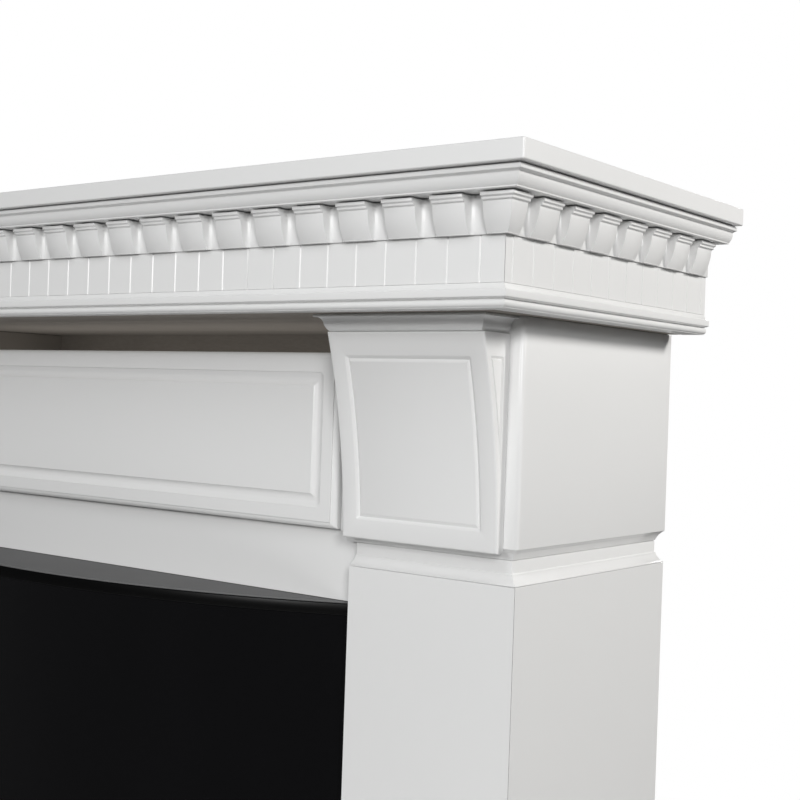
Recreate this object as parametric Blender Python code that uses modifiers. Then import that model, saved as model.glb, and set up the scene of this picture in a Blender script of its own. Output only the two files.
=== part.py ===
"""A painted wooden fire surround with a moulded cornice, corbelled legs and a bowed electric fire.

X runs along the shelf, the front faces -Y and the floor is at Z = 0. All sizes are in metres.
An inset is a distance back from the shelf's own edge, at the front and at both ends alike.
"""
import math

import bmesh
import bpy
from mathutils import Vector

# Overall size
WIDTH = 1.270
DEPTH = 0.400
HEIGHT = 1.050

# Clearances: two touching pieces, and the same gap measured along a mitred piece
GAP = 0.0003
MITRE_GAP = GAP * math.sqrt(2.0)
CUT_PAST = 0.002

# Boards
BOARD_THICK = 0.016
BACK_BOARD_THICK = 0.004

# Shelf
SHELF_THICK = 0.0163
SHELF_EASE = 0.0008

# Crown moulding under the shelf
CROWN_INSET = 0.0062
CROWN_HIGH = 0.0167
CROWN_REBATE_DEEP = 0.0013
CROWN_REBATE_HIGH = 0.0009
CROWN_FILLET_HIGH = 0.0035
CROWN_QUIRK_DEEP = 0.0034
CROWN_QUIRK_HIGH = 0.0018
CROWN_BELLY_STEP = 0.0008
CROWN_BELLY_BULGE = 0.0008
CROWN_FOOT_INSET = 0.0141
CROWN_FOOT_HIGH = 0.0012

# Strip of shaped blocks below the crown
BLOCK_SHADOW = 0.0012
BLOCK_INSET = 0.0200
BLOCK_HIGH = 0.0305
BLOCK_WIDE = 0.031
BLOCK_PITCH = 0.048
BLOCK_LIP_HIGH = 0.0030
BLOCK_NECK_INSET = 0.0244
BLOCK_NECK_HIGH = 0.0090
BLOCK_NECK_HOLLOW = 0.0007
BLOCK_NECK_STEP = 0.0009
BLOCK_BELLY_HIGH = 0.0015
BLOCK_BELLY_BULGE = 0.0012
BLOCK_FOOT_INSET = 0.0317
BLOCK_FOOT_HIGH = 0.0005
BLOCK_WEB_THICK = 0.0017
BLOCK_CORNER_RADIUS = 0.0025
END_CORNER_BLOCK_WIDE = 0.0275

# Grooved frieze
FRIEZE_INSET = 0.037
FRIEZE_SHOW = 0.037
GROOVE_PITCH = 0.03107
GROOVE_WIDE = 0.0018
GROOVE_DEEP = 0.0010
GROOVE_MARGIN = 0.010

# Base moulding of the frieze
BASE_INSET = 0.0320
BASE_HIGH = 0.0192
BASE_DEEP = 0.028
BASE_COVE_HIGH = 0.0052
BASE_COVE_HOLLOW = 0.0010
BASE_LIP_HIGH = 0.0057
BASE_QUIRK_INSET = 0.0372
BASE_QUIRK_HIGH = 0.0016
BASE_BEAD_BULGE = 0.0026
BASE_BEAD_FOOT = 0.0006

# Legs
LEG_SIDE_INSET = 0.072
LEG_FRONT_INSET = 0.1236
LEG_WIDE = 0.1794
CASING_WIDE = 0.1906
CASING_HIGH = 0.2062
CASING_CORNER_RADIUS = 0.0045
CASING_COVE_HIGH = 0.0105
CASING_COVE_HOLLOW = 0.0022
NECK_DEEP = 0.0104
NECK_HIGH = 0.0205
NECK_BAND_HIGH = 0.0110
NECK_FLARE_HOLLOW = 0.0016
NECK_LIP_HIGH = 0.0008
PLINTH_HIGH = 0.100
PLINTH_THICK = 0.010
PLINTH_CHAMFER = 0.006

# Corbels and their caps
CORBEL_WIDE = 0.1686
CORBEL_SIDE_INSET = 0.0132
CORBEL_HIGH = 0.1854
CORBEL_HEAD_REACH = 0.0403
CORBEL_FOOT_REACH = 0.0090
CORBEL_ARC_RADIUS = 0.683
CORBEL_ARC_STEPS = 12
PANEL_SIDE_BORDER = 0.0165
PANEL_TOP_BORDER = 0.0205
PANEL_FOOT_BORDER = 0.0175
PANEL_BEVEL_WIDE = 0.0038
PANEL_BEVEL_DEEP = 0.0022
PANEL_FLOOR_WIDE = 0.0006
PANEL_STEP_WIDE = 0.0012
PANEL_STEP_HIGH = 0.0012
CHEEK_TOP_BORDER = 0.0197
CHEEK_BACK_BORDER = 0.0082
CHEEK_FRONT_BORDER = 0.0058
CHEEK_BEVEL_WIDE = 0.0022
CHEEK_BEVEL_DEEP = 0.0016
CHEEK_STEP_WIDE = 0.0008
CHEEK_STEP_HIGH = 0.0009
CHEEK_ARC_STEPS = 6
CAP_WIDE = 0.185
CAP_REACH = 0.0506
CAP_HIGH = 0.0145
CAP_EDGE_HIGH = 0.0019
CAP_LIP_HIGH = 0.0024
CAP_LIP_STEP = 0.0030
CAP_WAIST_INSET = 0.0070
CAP_WAIST_HIGH = 0.0080
CAP_HOLLOW = 0.0009
CAP_FOOT_INSET = 0.0108
CAP_BULGE = 0.0006

# Header between the legs, with the open slot above it, and the apron board behind it
SLOT_HIGH = 0.0317
HEADER_HIGH = 0.1643
HEADER_THICK = 0.0157
HEADER_SETBACK = 0.0034
HEADER_END_GAP = 0.0114
HEADER_EDGE_WIDE = 0.0057
HEADER_EDGE_DEEP = 0.0042
HEADER_EDGE_BULGE = 0.0010
HEADER_FRAME_WIDE = 0.0130
HEADER_BEVEL_WIDE = 0.0052
HEADER_BEVEL_DEEP = 0.0034
HEADER_FLOOR_WIDE = 0.0058
HEADER_STEP_WIDE = 0.0017
HEADER_STEP_HIGH = 0.0024
APRON_THICK = 0.016
APRON_SHOW = 0.0678

# Opening and the boards under the fire
HEARTH_HIGH = 0.100

# Bowed electric fire
FIRE_CLEAR = 0.0005
FIRE_APEX_INSET = 0.0545
FIRE_BOW_RADIUS = 0.799
FIRE_BACK_INSET = 0.330
FIRE_BOW_STEPS = 24
FIRE_SHEET = 0.002
FIRE_FRAME_THICK = 0.012
FIRE_FRAME_BAND = 0.011
FIRE_FRAME_STILE = 0.012
FIRE_GLASS_THICK = 0.004
FIRE_GLASS_SETBACK = 0.0012

# Levels, worked down from the shelf's top
SHELF_UNDER = HEIGHT - SHELF_THICK
CROWN_TOP = SHELF_UNDER - GAP
CROWN_FOOT = CROWN_TOP - CROWN_HIGH
BLOCK_TOP = CROWN_FOOT - BLOCK_SHADOW
BLOCK_FOOT = BLOCK_TOP - BLOCK_HIGH
FRIEZE_FOOT = BLOCK_FOOT - FRIEZE_SHOW
BASE_TOP = FRIEZE_FOOT - GAP
CORNICE_FOOT = BASE_TOP - BASE_HIGH
LEG_TOP = CORNICE_FOOT - GAP
CASING_FOOT = LEG_TOP - CASING_HIGH
NECK_TOP = CASING_FOOT - GAP
NECK_FOOT = NECK_TOP - NECK_HIGH
SHAFT_TOP = NECK_FOOT - GAP
CAP_FOOT = LEG_TOP - CAP_HIGH
CORBEL_TOP = CAP_FOOT - GAP
CORBEL_FOOT = CORBEL_TOP - CORBEL_HIGH
HEADER_TOP = LEG_TOP - SLOT_HIGH
HEADER_FOOT = HEADER_TOP - HEADER_HIGH
OPENING_TOP = HEADER_FOOT - APRON_SHOW

# Insets worked out from the driving sizes
SOFFIT_INSET = BASE_INSET + BASE_DEEP + GAP
LEG_INNER_INSET = LEG_SIDE_INSET + LEG_WIDE
CASING_INNER_INSET = LEG_SIDE_INSET + CASING_WIDE
CORBEL_CENTRE_INSET = LEG_SIDE_INSET + CORBEL_SIDE_INSET + CORBEL_WIDE / 2
HEADER_FRONT_INSET = LEG_FRONT_INSET + HEADER_SETBACK
APRON_FRONT_INSET = HEADER_FRONT_INSET + HEADER_THICK + GAP
OPENING_HALF = WIDTH / 2 - LEG_INNER_INSET
FIRE_HALF = OPENING_HALF - FIRE_CLEAR
FIRE_FOOT = HEARTH_HIGH + GAP
FIRE_TOP = OPENING_TOP - FIRE_CLEAR

WHITE_PAINT = (0.80, 0.80, 0.79, 1.0)
RAW_BOARD = (0.17, 0.14, 0.11, 1.0)
BLACK_METAL = (0.012, 0.012, 0.013, 1.0)
GREY_METAL = (0.10, 0.10, 0.105, 1.0)
BLACK_GLASS = (0.004, 0.004, 0.005, 1.0)
PAINT_ROUGH = 0.38
RAW_ROUGH = 0.8
BLACK_ROUGH = 0.35
BLACK_METALLIC = 0.6
GREY_ROUGH = 0.55
GREY_METALLIC = 0.4
GLASS_ROUGH = 0.05

# Limits for finding faces and edges, and the halvings that find a crossing
FRONT_FACING = -0.5
SHARP_EDGE = math.radians(40)
HALVINGS = 40


def front(inset):
    """Y of a plane that lies this far behind the shelf's front edge."""
    return inset - DEPTH / 2


def end(inset):
    """Distance from the middle to a plane that lies this far inside the shelf's end."""
    return WIDTH / 2 - inset


def arc_points(start, finish, bulge, steps):
    """Points on an arc between two profile points, taken downwards; a positive bulge swells."""
    start = Vector(start)
    finish = Vector(finish)
    chord = finish - start
    half_angle = 2 * math.atan(2 * abs(bulge) / chord.length)
    radius = chord.length / (2 * math.sin(half_angle))
    middle = (start + finish) / 2
    along = chord.normalized()
    outward = Vector((-along.y, along.x)) * math.copysign(1.0, bulge)
    points = []
    for step in range(steps + 1):
        angle = half_angle * (2 * step / steps - 1)
        rise = radius * math.cos(angle) - radius * math.cos(half_angle)
        point = middle + along * (radius * math.sin(angle)) + outward * rise
        points.append((point.x, point.y))
    return points


def make_material(name, colour, roughness, metallic=0.0):
    material = bpy.data.materials.new(name)
    material.use_nodes = True
    material.diffuse_color = colour
    shader = material.node_tree.nodes["Principled BSDF"]
    shader.inputs["Base Color"].default_value = colour
    shader.inputs["Roughness"].default_value = roughness
    shader.inputs["Metallic"].default_value = metallic
    return material


def finish_mesh(bm, name, collection, material=None):
    """Turn the bmesh into a named object with its faces pointing out."""
    bmesh.ops.recalc_face_normals(bm, faces=bm.faces)
    mesh = bpy.data.meshes.new(name)
    bm.to_mesh(mesh)
    bm.free()
    if material:
        mesh.materials.append(material)
    piece = bpy.data.objects.new(name, mesh)
    collection.objects.link(piece)
    return piece


def painted(name):
    return make_material(name + "_paint", WHITE_PAINT, PAINT_ROUGH)


def loft(bm, loops):
    """Extrude the first loop's face through the other loops, which have as many points."""
    first = bm.faces.new([bm.verts.new(point) for point in loops[0]])
    face = first
    previous = loops[0]
    for loop in loops[1:]:
        place = {tuple(point): target for point, target in zip(previous, loop)}
        extruded = bmesh.ops.extrude_face_region(bm, geom=[face])["geom"]
        if face is not first and face.is_valid:
            bm.faces.remove(face)
        face = next(item for item in extruded if isinstance(item, bmesh.types.BMFace))
        for vertex in face.verts:
            vertex.co = place[tuple(vertex.co)]
        previous = loop


def lofted(name, loops, collection, material=None):
    bm = bmesh.new()
    loft(bm, [[Vector(point) for point in loop] for loop in loops])
    return finish_mesh(bm, name, collection, material)


def box(name, low, high, collection, material=None):
    bm = bmesh.new()
    bmesh.ops.create_cube(bm, size=1.0)
    for vertex in bm.verts:
        for axis in range(3):
            vertex.co[axis] = high[axis] if vertex.co[axis] > 0 else low[axis]
    return finish_mesh(bm, name, collection, material)


def sided_box(name, side, inner, outer, back_and_front, low, high, collection, material):
    """A box at one end of the surround, from an inner to an outer distance from the middle."""
    near, far = back_and_front
    x_low, x_high = sorted((side * inner, side * outer))
    return box(name, (x_low, near, low), (x_high, far, high), collection, material)


def front_run(name, profile, top, collection):
    """A moulding along the whole front, mitred at both ends. The profile is inset and drop."""
    ends = []
    for side in (-1, 1):
        ends.append([(side * (end(inset) - MITRE_GAP / 2), front(inset), top - drop)
                     for inset, drop in profile])
    return lofted(name, ends, collection, painted(name))


def end_run(name, side, profile, top, collection):
    """The same moulding's return at one end, mitred at the front and square at the wall."""
    corner = [(side * end(inset), front(inset) + MITRE_GAP / 2, top - drop)
              for inset, drop in profile]
    wall = [(side * end(inset), DEPTH / 2, top - drop) for inset, drop in profile]
    return lofted(name, [corner, wall], collection, painted(name))


def cut(piece, cutter):
    """Cut one object out of another, and keep the cutter only as a guide."""
    cutter.hide_render = True
    cutter.display_type = "WIRE"
    modifier = piece.modifiers.new("cut_" + cutter.name, "BOOLEAN")
    modifier.operation = "DIFFERENCE"
    modifier.solver = "EXACT"
    modifier.object = cutter


def ease_edges(piece, width):
    bevel = piece.modifiers.new("eased_edges", "BEVEL")
    bevel.width = width
    bevel.segments = 1
    bevel.limit_method = "ANGLE"
    bevel.angle_limit = SHARP_EDGE


def crown_profile():
    back = FRIEZE_INSET - GAP
    rebate = CROWN_INSET + CROWN_REBATE_DEEP
    quirk = CROWN_INSET + CROWN_QUIRK_DEEP
    fillet_foot = CROWN_REBATE_HIGH + CROWN_FILLET_HIGH
    quirk_foot = fillet_foot + CROWN_QUIRK_HIGH
    belly_top = (quirk + CROWN_BELLY_STEP, quirk_foot + CROWN_BELLY_STEP)
    belly_foot = (CROWN_FOOT_INSET, CROWN_HIGH - CROWN_FOOT_HIGH)
    return [
        (back, 0.0),
        (rebate, 0.0),
        (rebate, CROWN_REBATE_HIGH),
        (CROWN_INSET, CROWN_REBATE_HIGH),
        (CROWN_INSET, fillet_foot),
        (quirk, quirk_foot),
        *arc_points(belly_top, belly_foot, CROWN_BELLY_BULGE, 4),
        (CROWN_FOOT_INSET, CROWN_HIGH),
        (back, CROWN_HIGH),
    ]


def block_profile():
    back = FRIEZE_INSET - GAP
    neck_top = (BLOCK_INSET, BLOCK_LIP_HIGH)
    neck_foot = (BLOCK_NECK_INSET - BLOCK_NECK_STEP, BLOCK_NECK_HIGH)
    belly_top = (BLOCK_NECK_INSET, BLOCK_NECK_HIGH + BLOCK_BELLY_HIGH)
    belly_foot = (BLOCK_FOOT_INSET, BLOCK_HIGH - BLOCK_FOOT_HIGH)
    return [
        (back, 0.0),
        (BLOCK_INSET, 0.0),
        *arc_points(neck_top, neck_foot, -BLOCK_NECK_HOLLOW, 3),
        (BLOCK_NECK_INSET, BLOCK_NECK_HIGH),
        *arc_points(belly_top, belly_foot, BLOCK_BELLY_BULGE, 5),
        (BLOCK_FOOT_INSET, BLOCK_HIGH),
        (back, BLOCK_HIGH),
    ]


def base_profile():
    back = BASE_INSET + BASE_DEEP
    lip_top = BASE_COVE_HIGH
    lip_foot = lip_top + BASE_LIP_HIGH
    bead_top = (BASE_QUIRK_INSET, lip_foot + BASE_QUIRK_HIGH)
    bead_foot = (BASE_QUIRK_INSET, BASE_HIGH - BASE_BEAD_FOOT)
    return [
        (back, 0.0),
        *arc_points((FRIEZE_INSET, 0.0), (BASE_INSET, lip_top), -BASE_COVE_HOLLOW, 4),
        (BASE_INSET, lip_foot),
        *arc_points(bead_top, bead_foot, BASE_BEAD_BULGE, 5),
        (BASE_QUIRK_INSET, BASE_HIGH),
        (back, BASE_HIGH),
    ]


def gap_cutter(name, gaps, collection):
    """One guide that clears every gap in a strip; a gap is two corners and its back edges."""
    bm = bmesh.new()
    for low, high, back_edges in gaps:
        gap = bmesh.ops.create_cube(bm, size=1.0)["verts"]
        for vertex in gap:
            for axis in range(3):
                vertex.co[axis] = high[axis] if vertex.co[axis] > 0 else low[axis]
        corners = {edge for vertex in gap for edge in vertex.link_edges if back_edges(edge)}
        bmesh.ops.bevel(bm, geom=list(corners), offset=BLOCK_CORNER_RADIUS, segments=2,
                        affect="EDGES")
    return finish_mesh(bm, name, collection)


def is_upright(edge):
    first, second = edge.verts
    return abs(first.co.z - second.co.z) > abs(first.co.x - second.co.x) + abs(
        first.co.y - second.co.y)


def cut_front_blocks(strip, cutters):
    """Gaps between the blocks of the front strip, spaced evenly between its corner blocks."""
    face = end(BLOCK_INSET)
    count = round((2 * face - BLOCK_WIDE) / BLOCK_PITCH)
    pitch = (2 * face - BLOCK_WIDE) / count
    web = front(FRIEZE_INSET - BLOCK_WEB_THICK)

    def back_edges(edge):
        return is_upright(edge) and all(abs(vertex.co.y - web) < GAP for vertex in edge.verts)

    gaps = []
    for number in range(count):
        start = number * pitch + BLOCK_WIDE - face
        finish = (number + 1) * pitch - face
        low = (start, front(0.0), BLOCK_FOOT - CUT_PAST)
        high = (finish, web, BLOCK_TOP + BLOCK_SHADOW / 2)
        gaps.append((low, high, back_edges))
    cut(strip, gap_cutter("front_block_gaps", gaps, cutters))


def cut_end_blocks(strip, side, cutters):
    """Gaps between the blocks of an end strip, from its corner block to the wall."""
    web = end(FRIEZE_INSET - BLOCK_WEB_THICK)

    def back_edges(edge):
        return is_upright(edge) and all(abs(abs(vertex.co.x) - web) < GAP for vertex in edge.verts)

    gaps = []
    start = front(BLOCK_INSET + END_CORNER_BLOCK_WIDE)
    while start < DEPTH / 2:
        finish = start + BLOCK_PITCH - BLOCK_WIDE
        x_low, x_high = sorted((side * web, side * end(0.0)))
        low = (x_low, start, BLOCK_FOOT - CUT_PAST)
        high = (x_high, min(finish, DEPTH / 2 + CUT_PAST), BLOCK_TOP + BLOCK_SHADOW / 2)
        if start + BLOCK_PITCH > DEPTH / 2:
            high = (x_high, DEPTH / 2 + CUT_PAST, high[2])
        gaps.append((low, high, back_edges))
        start += BLOCK_PITCH
    cut(strip, gap_cutter(strip.name + "_gaps", gaps, cutters))


def grooved_face(start, finish):
    """Distance along a frieze face and depth into it, for evenly spaced V grooves."""
    count = int((finish - start - 2 * GROOVE_MARGIN) / GROOVE_PITCH) + 1
    first = (start + finish - (count - 1) * GROOVE_PITCH) / 2
    points = []
    for number in range(count):
        centre = first + number * GROOVE_PITCH
        points.append((centre - GROOVE_WIDE / 2, 0.0))
        points.append((centre, GROOVE_DEEP))
        points.append((centre + GROOVE_WIDE / 2, 0.0))
    return points


def extruded_plan(name, outline, low, high, collection, material=None):
    loops = [[(x, y, height) for x, y in outline] for height in (low, high)]
    return lofted(name, loops, collection, material)


def make_frieze(collection):
    inner_inset = FRIEZE_INSET + BOARD_THICK
    face = end(FRIEZE_INSET) - MITRE_GAP / 2
    inner = end(inner_inset) - MITRE_GAP / 2
    outline = [(-face, front(FRIEZE_INSET))]
    outline += [(x, front(FRIEZE_INSET + deep)) for x, deep in grooved_face(-face, face)]
    outline += [(face, front(FRIEZE_INSET)), (inner, front(inner_inset)),
                (-inner, front(inner_inset))]
    extruded_plan("frieze_front", outline, FRIEZE_FOOT, CROWN_TOP, collection,
                  painted("frieze_front"))
    for name, side in (("left", -1), ("right", 1)):
        corner = front(FRIEZE_INSET) + MITRE_GAP / 2
        outline = [(side * end(FRIEZE_INSET), corner)]
        outline += [(side * end(FRIEZE_INSET + deep), y)
                    for y, deep in grooved_face(corner, DEPTH / 2)]
        outline += [(side * end(FRIEZE_INSET), DEPTH / 2), (side * end(inner_inset), DEPTH / 2),
                    (side * end(inner_inset), front(inner_inset) + MITRE_GAP / 2)]
        extruded_plan("frieze_" + name, outline, FRIEZE_FOOT, CROWN_TOP, collection,
                      painted("frieze_" + name))


def make_cornice(collection, cutters):
    shelf = box("mantel_shelf", (-WIDTH / 2, -DEPTH / 2, SHELF_UNDER),
                (WIDTH / 2, DEPTH / 2, HEIGHT), collection, painted("mantel_shelf"))
    ease_edges(shelf, SHELF_EASE)
    mouldings = (
        ("crown", crown_profile(), CROWN_TOP),
        ("blocks", block_profile(), BLOCK_TOP),
        ("frieze_base", base_profile(), BASE_TOP),
    )
    strips = {}
    for name, profile, top in mouldings:
        strips[name, 0] = front_run(name + "_front", profile, top, collection)
        for end_name, side in (("_left", -1), ("_right", 1)):
            strips[name, side] = end_run(name + end_name, side, profile, top, collection)
    cut_front_blocks(strips["blocks", 0], cutters)
    for side in (-1, 1):
        cut_end_blocks(strips["blocks", side], side, cutters)
    make_frieze(collection)
    before_back = DEPTH / 2 - BACK_BOARD_THICK - GAP
    box("soffit_board", (-end(SOFFIT_INSET), front(SOFFIT_INSET), CORNICE_FOOT),
        (end(SOFFIT_INSET), before_back, CORNICE_FOOT + BOARD_THICK), collection,
        make_material("soffit_board_raw", RAW_BOARD, RAW_ROUGH))


def leg_corner_run(name, side, profile, top, collection):
    """A strip round a leg's outer corner in two mitred pieces; depth is behind the leg's face."""
    inner = end(LEG_INNER_INSET)
    face = end(LEG_SIDE_INSET)
    plane = front(LEG_FRONT_INSET)
    square = [(side * inner, plane + depth, top - drop) for depth, drop in profile]
    mitre = [(side * (face - depth - MITRE_GAP / 2), plane + depth, top - drop)
             for depth, drop in profile]
    lofted(name + "_front", [square, mitre], collection, painted(name + "_front"))
    corner = [(side * (face - depth), plane + depth + MITRE_GAP / 2, top - drop)
              for depth, drop in profile]
    wall = [(side * (face - depth), DEPTH / 2, top - drop) for depth, drop in profile]
    lofted(name + "_side", [corner, wall], collection, painted(name + "_side"))


def make_casing(name, side, collection):
    """The folded board round a leg's upper block, with a cove under it and a rounded corner."""
    cove = arc_points((0.0, CASING_HIGH - CASING_COVE_HIGH), (NECK_DEEP, CASING_HIGH),
                      -CASING_COVE_HOLLOW, 4)
    profile = [(0.0, 0.0), *cove, (BOARD_THICK, CASING_HIGH), (BOARD_THICK, 0.0)]
    inner = end(CASING_INNER_INSET)
    face = end(LEG_SIDE_INSET)
    plane = front(LEG_FRONT_INSET)
    loops = [
        [(side * inner, plane + depth, LEG_TOP - drop) for depth, drop in profile],
        [(side * (face - depth), plane + depth, LEG_TOP - drop) for depth, drop in profile],
        [(side * (face - depth), DEPTH / 2, LEG_TOP - drop) for depth, drop in profile],
    ]
    bm = bmesh.new()
    loft(bm, [[Vector(point) for point in loop] for loop in loops])
    corner_line = [Vector(point) for point in loops[1][:len(cove) + 1]]
    outer = [vertex for vertex in bm.verts
             if any((vertex.co - point).length < GAP for point in corner_line)]
    edges = [edge for edge in bm.edges if all(vertex in outer for vertex in edge.verts)]
    bmesh.ops.bevel(bm, geom=edges, offset=CASING_CORNER_RADIUS, segments=3,
                    affect="EDGES", clamp_overlap=True)
    finish_mesh(bm, name, collection, painted(name))


def neck_profile():
    flare = arc_points((NECK_DEEP, NECK_BAND_HIGH), (0.0, NECK_HIGH - NECK_LIP_HIGH),
                       -NECK_FLARE_HOLLOW, 4)
    return [(BOARD_THICK, 0.0), (NECK_DEEP, 0.0), *flare, (0.0, NECK_HIGH),
            (BOARD_THICK, NECK_HIGH)]


def shaft_profile():
    return [(0.0, 0.0), (0.0, SHAFT_TOP), (BOARD_THICK, SHAFT_TOP), (BOARD_THICK, 0.0)]


def plinth_profile():
    face = -GAP - PLINTH_THICK
    return [(-GAP, 0.0), (face + PLINTH_CHAMFER, 0.0), (face, PLINTH_CHAMFER),
            (face, PLINTH_HIGH), (-GAP, PLINTH_HIGH)]


def corbel_reach(height):
    """How far a corbel's hollow front stands out from the leg at this height."""
    rise = CORBEL_HEAD_REACH - CORBEL_FOOT_REACH
    chord = math.hypot(CORBEL_HIGH, rise)
    lean = math.atan2(rise, CORBEL_HIGH) - math.asin(chord / (2 * CORBEL_ARC_RADIUS))
    centre_reach = CORBEL_FOOT_REACH + CORBEL_ARC_RADIUS * math.cos(lean)
    centre_height = CORBEL_FOOT - CORBEL_ARC_RADIUS * math.sin(lean)
    return centre_reach - math.sqrt(CORBEL_ARC_RADIUS ** 2 - (height - centre_height) ** 2)


def cheek_loop(side, x_face, border, depth):
    """Outline of the sunk panel in a corbel's side, shrunk by a border, at a depth into it."""
    leg_face = front(LEG_FRONT_INSET)
    top = CORBEL_TOP - CHEEK_TOP_BORDER - border
    back_reach = CHEEK_BACK_BORDER + border
    front_border = CHEEK_FRONT_BORDER + border
    low = CORBEL_FOOT
    high = top
    for _ in range(HALVINGS):
        middle = (low + high) / 2
        if corbel_reach(middle) - front_border > back_reach:
            high = middle
        else:
            low = middle
    points = [(top, back_reach)]
    for step in range(CHEEK_ARC_STEPS + 1):
        height = top + (low - top) * step / CHEEK_ARC_STEPS
        points.append((height, max(corbel_reach(height) - front_border, back_reach)))
    points[-1] = (low, back_reach)
    x = x_face - side * depth
    return [(x, leg_face - reach, height) for height, reach in points]


def cheek_levels():
    floor = CHEEK_BEVEL_WIDE + CHEEK_STEP_WIDE
    return (
        (0.0, -CUT_PAST),
        (0.0, 0.0),
        (CHEEK_BEVEL_WIDE, CHEEK_BEVEL_DEEP),
        (floor, CHEEK_BEVEL_DEEP - CHEEK_STEP_HIGH),
    )


def make_corbel(name, side, collection, cutters):
    """A corbel with a hollow front, a sunk panel with a raised field, and sunk cheeks."""
    centre = end(CORBEL_CENTRE_INSET)
    leg_face = front(LEG_FRONT_INSET)
    back = leg_face - GAP
    outline = [(back, CORBEL_TOP)]
    panel_top = CORBEL_TOP - PANEL_TOP_BORDER
    panel_foot = CORBEL_FOOT + PANEL_FOOT_BORDER
    heights = [CORBEL_TOP]
    for step in range(CORBEL_ARC_STEPS + 1):
        heights.append(panel_top + (panel_foot - panel_top) * step / CORBEL_ARC_STEPS)
    heights.append(CORBEL_FOOT)
    outline += [(leg_face - corbel_reach(height), height) for height in heights]
    outline += [(back, CORBEL_FOOT)]
    loops = []
    for x in (centre - CORBEL_WIDE / 2, centre + CORBEL_WIDE / 2):
        loops.append([Vector((side * x, y, height)) for y, height in outline])
    bm = bmesh.new()
    loft(bm, loops)
    bmesh.ops.recalc_face_normals(bm, faces=bm.faces)
    for edge_place in (centre - CORBEL_WIDE / 2 + PANEL_SIDE_BORDER,
                       centre + CORBEL_WIDE / 2 - PANEL_SIDE_BORDER):
        faces = [face for face in bm.faces if face.normal.y < FRONT_FACING]
        geometry = faces + list({edge for face in faces for edge in face.edges})
        geometry += list({vertex for face in faces for vertex in face.verts})
        bmesh.ops.bisect_plane(bm, geom=geometry, plane_co=(side * edge_place, 0.0, 0.0),
                               plane_no=(1.0, 0.0, 0.0), dist=GAP / 10)

    def in_panel(face):
        place = face.calc_center_median()
        return (face.normal.y < FRONT_FACING and panel_foot < place.z < panel_top
                and abs(place.x - side * centre) < CORBEL_WIDE / 2 - PANEL_SIDE_BORDER)

    panel = [face for face in bm.faces if in_panel(face)]
    for width, depth in ((PANEL_BEVEL_WIDE, -PANEL_BEVEL_DEEP), (PANEL_FLOOR_WIDE, 0.0),
                         (PANEL_STEP_WIDE, PANEL_STEP_HIGH)):
        bmesh.ops.inset_region(bm, faces=panel, thickness=width, depth=depth,
                               use_even_offset=True, use_boundary=True)
    corbel = finish_mesh(bm, name, collection, painted(name))
    for cheek, outward in (("inner", -1), ("outer", 1)):
        x_face = side * (centre + outward * CORBEL_WIDE / 2)
        loops = [cheek_loop(side * outward, x_face, border, depth)
                 for border, depth in cheek_levels()]
        cut(corbel, lofted(name + "_" + cheek + "_cheek", loops, cutters))


def make_corbel_cap(name, side, collection):
    """The moulded cap over a corbel, with its section turned round the front and both ends."""
    centre = end(CORBEL_CENTRE_INSET)
    leg_face = front(LEG_FRONT_INSET)
    lip_foot = (CAP_LIP_STEP, CAP_LIP_HIGH)
    waist = (CAP_WAIST_INSET, CAP_WAIST_HIGH)
    foot = (CAP_FOOT_INSET, CAP_HIGH)
    section = [(0.0, 0.0), (0.0, CAP_EDGE_HIGH), *arc_points(lip_foot, waist, -CAP_HOLLOW, 3),
               *arc_points(waist, foot, CAP_BULGE, 3)[1:]]
    loops = []
    for inset, drop in section:
        left = side * centre - CAP_WIDE / 2 + inset
        right = side * centre + CAP_WIDE / 2 - inset
        near = leg_face - CAP_REACH + inset
        far = leg_face - GAP
        height = LEG_TOP - drop
        loops.append([(left, near, height), (right, near, height), (right, far, height),
                      (left, far, height)])
    lofted(name, loops, collection, painted(name))


def make_leg(end_name, side, collection, cutters):
    name = end_name + "_leg"
    wall_gap = DEPTH / 2 - BACK_BOARD_THICK - GAP
    make_casing(name + "_casing", side, collection)
    make_corbel_cap(name + "_corbel_cap", side, collection)
    make_corbel(name + "_corbel", side, collection, cutters)
    leg_corner_run(name + "_neck", side, neck_profile(), NECK_TOP, collection)
    leg_corner_run(name + "_shaft", side, shaft_profile(), SHAFT_TOP, collection)
    leg_corner_run(name + "_plinth", side, plinth_profile(), PLINTH_HIGH, collection)
    inner_name = name + "_inner_board"
    behind_front = front(LEG_FRONT_INSET) + BOARD_THICK + GAP
    inner = end(LEG_INNER_INSET)
    sided_box(inner_name, side, inner, inner + BOARD_THICK, (behind_front, wall_gap), 0.0, LEG_TOP,
              collection, painted(inner_name))


def header_levels():
    """Steps from the header's outer edge to its raised field: distance in, and depth back.

    They run the other way round the wood, so the edge swells with a negative bulge.
    """
    edge = arc_points((0.0, HEADER_EDGE_DEEP), (HEADER_EDGE_WIDE, 0.0), -HEADER_EDGE_BULGE, 3)
    frame = HEADER_EDGE_WIDE + HEADER_FRAME_WIDE
    bevel = frame + HEADER_BEVEL_WIDE
    floor = bevel + HEADER_FLOOR_WIDE
    step = floor + HEADER_STEP_WIDE
    return [*edge, (frame, 0.0), (bevel, HEADER_BEVEL_DEEP), (floor, HEADER_BEVEL_DEEP),
            (step, HEADER_BEVEL_DEEP - HEADER_STEP_HIGH)]


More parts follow.
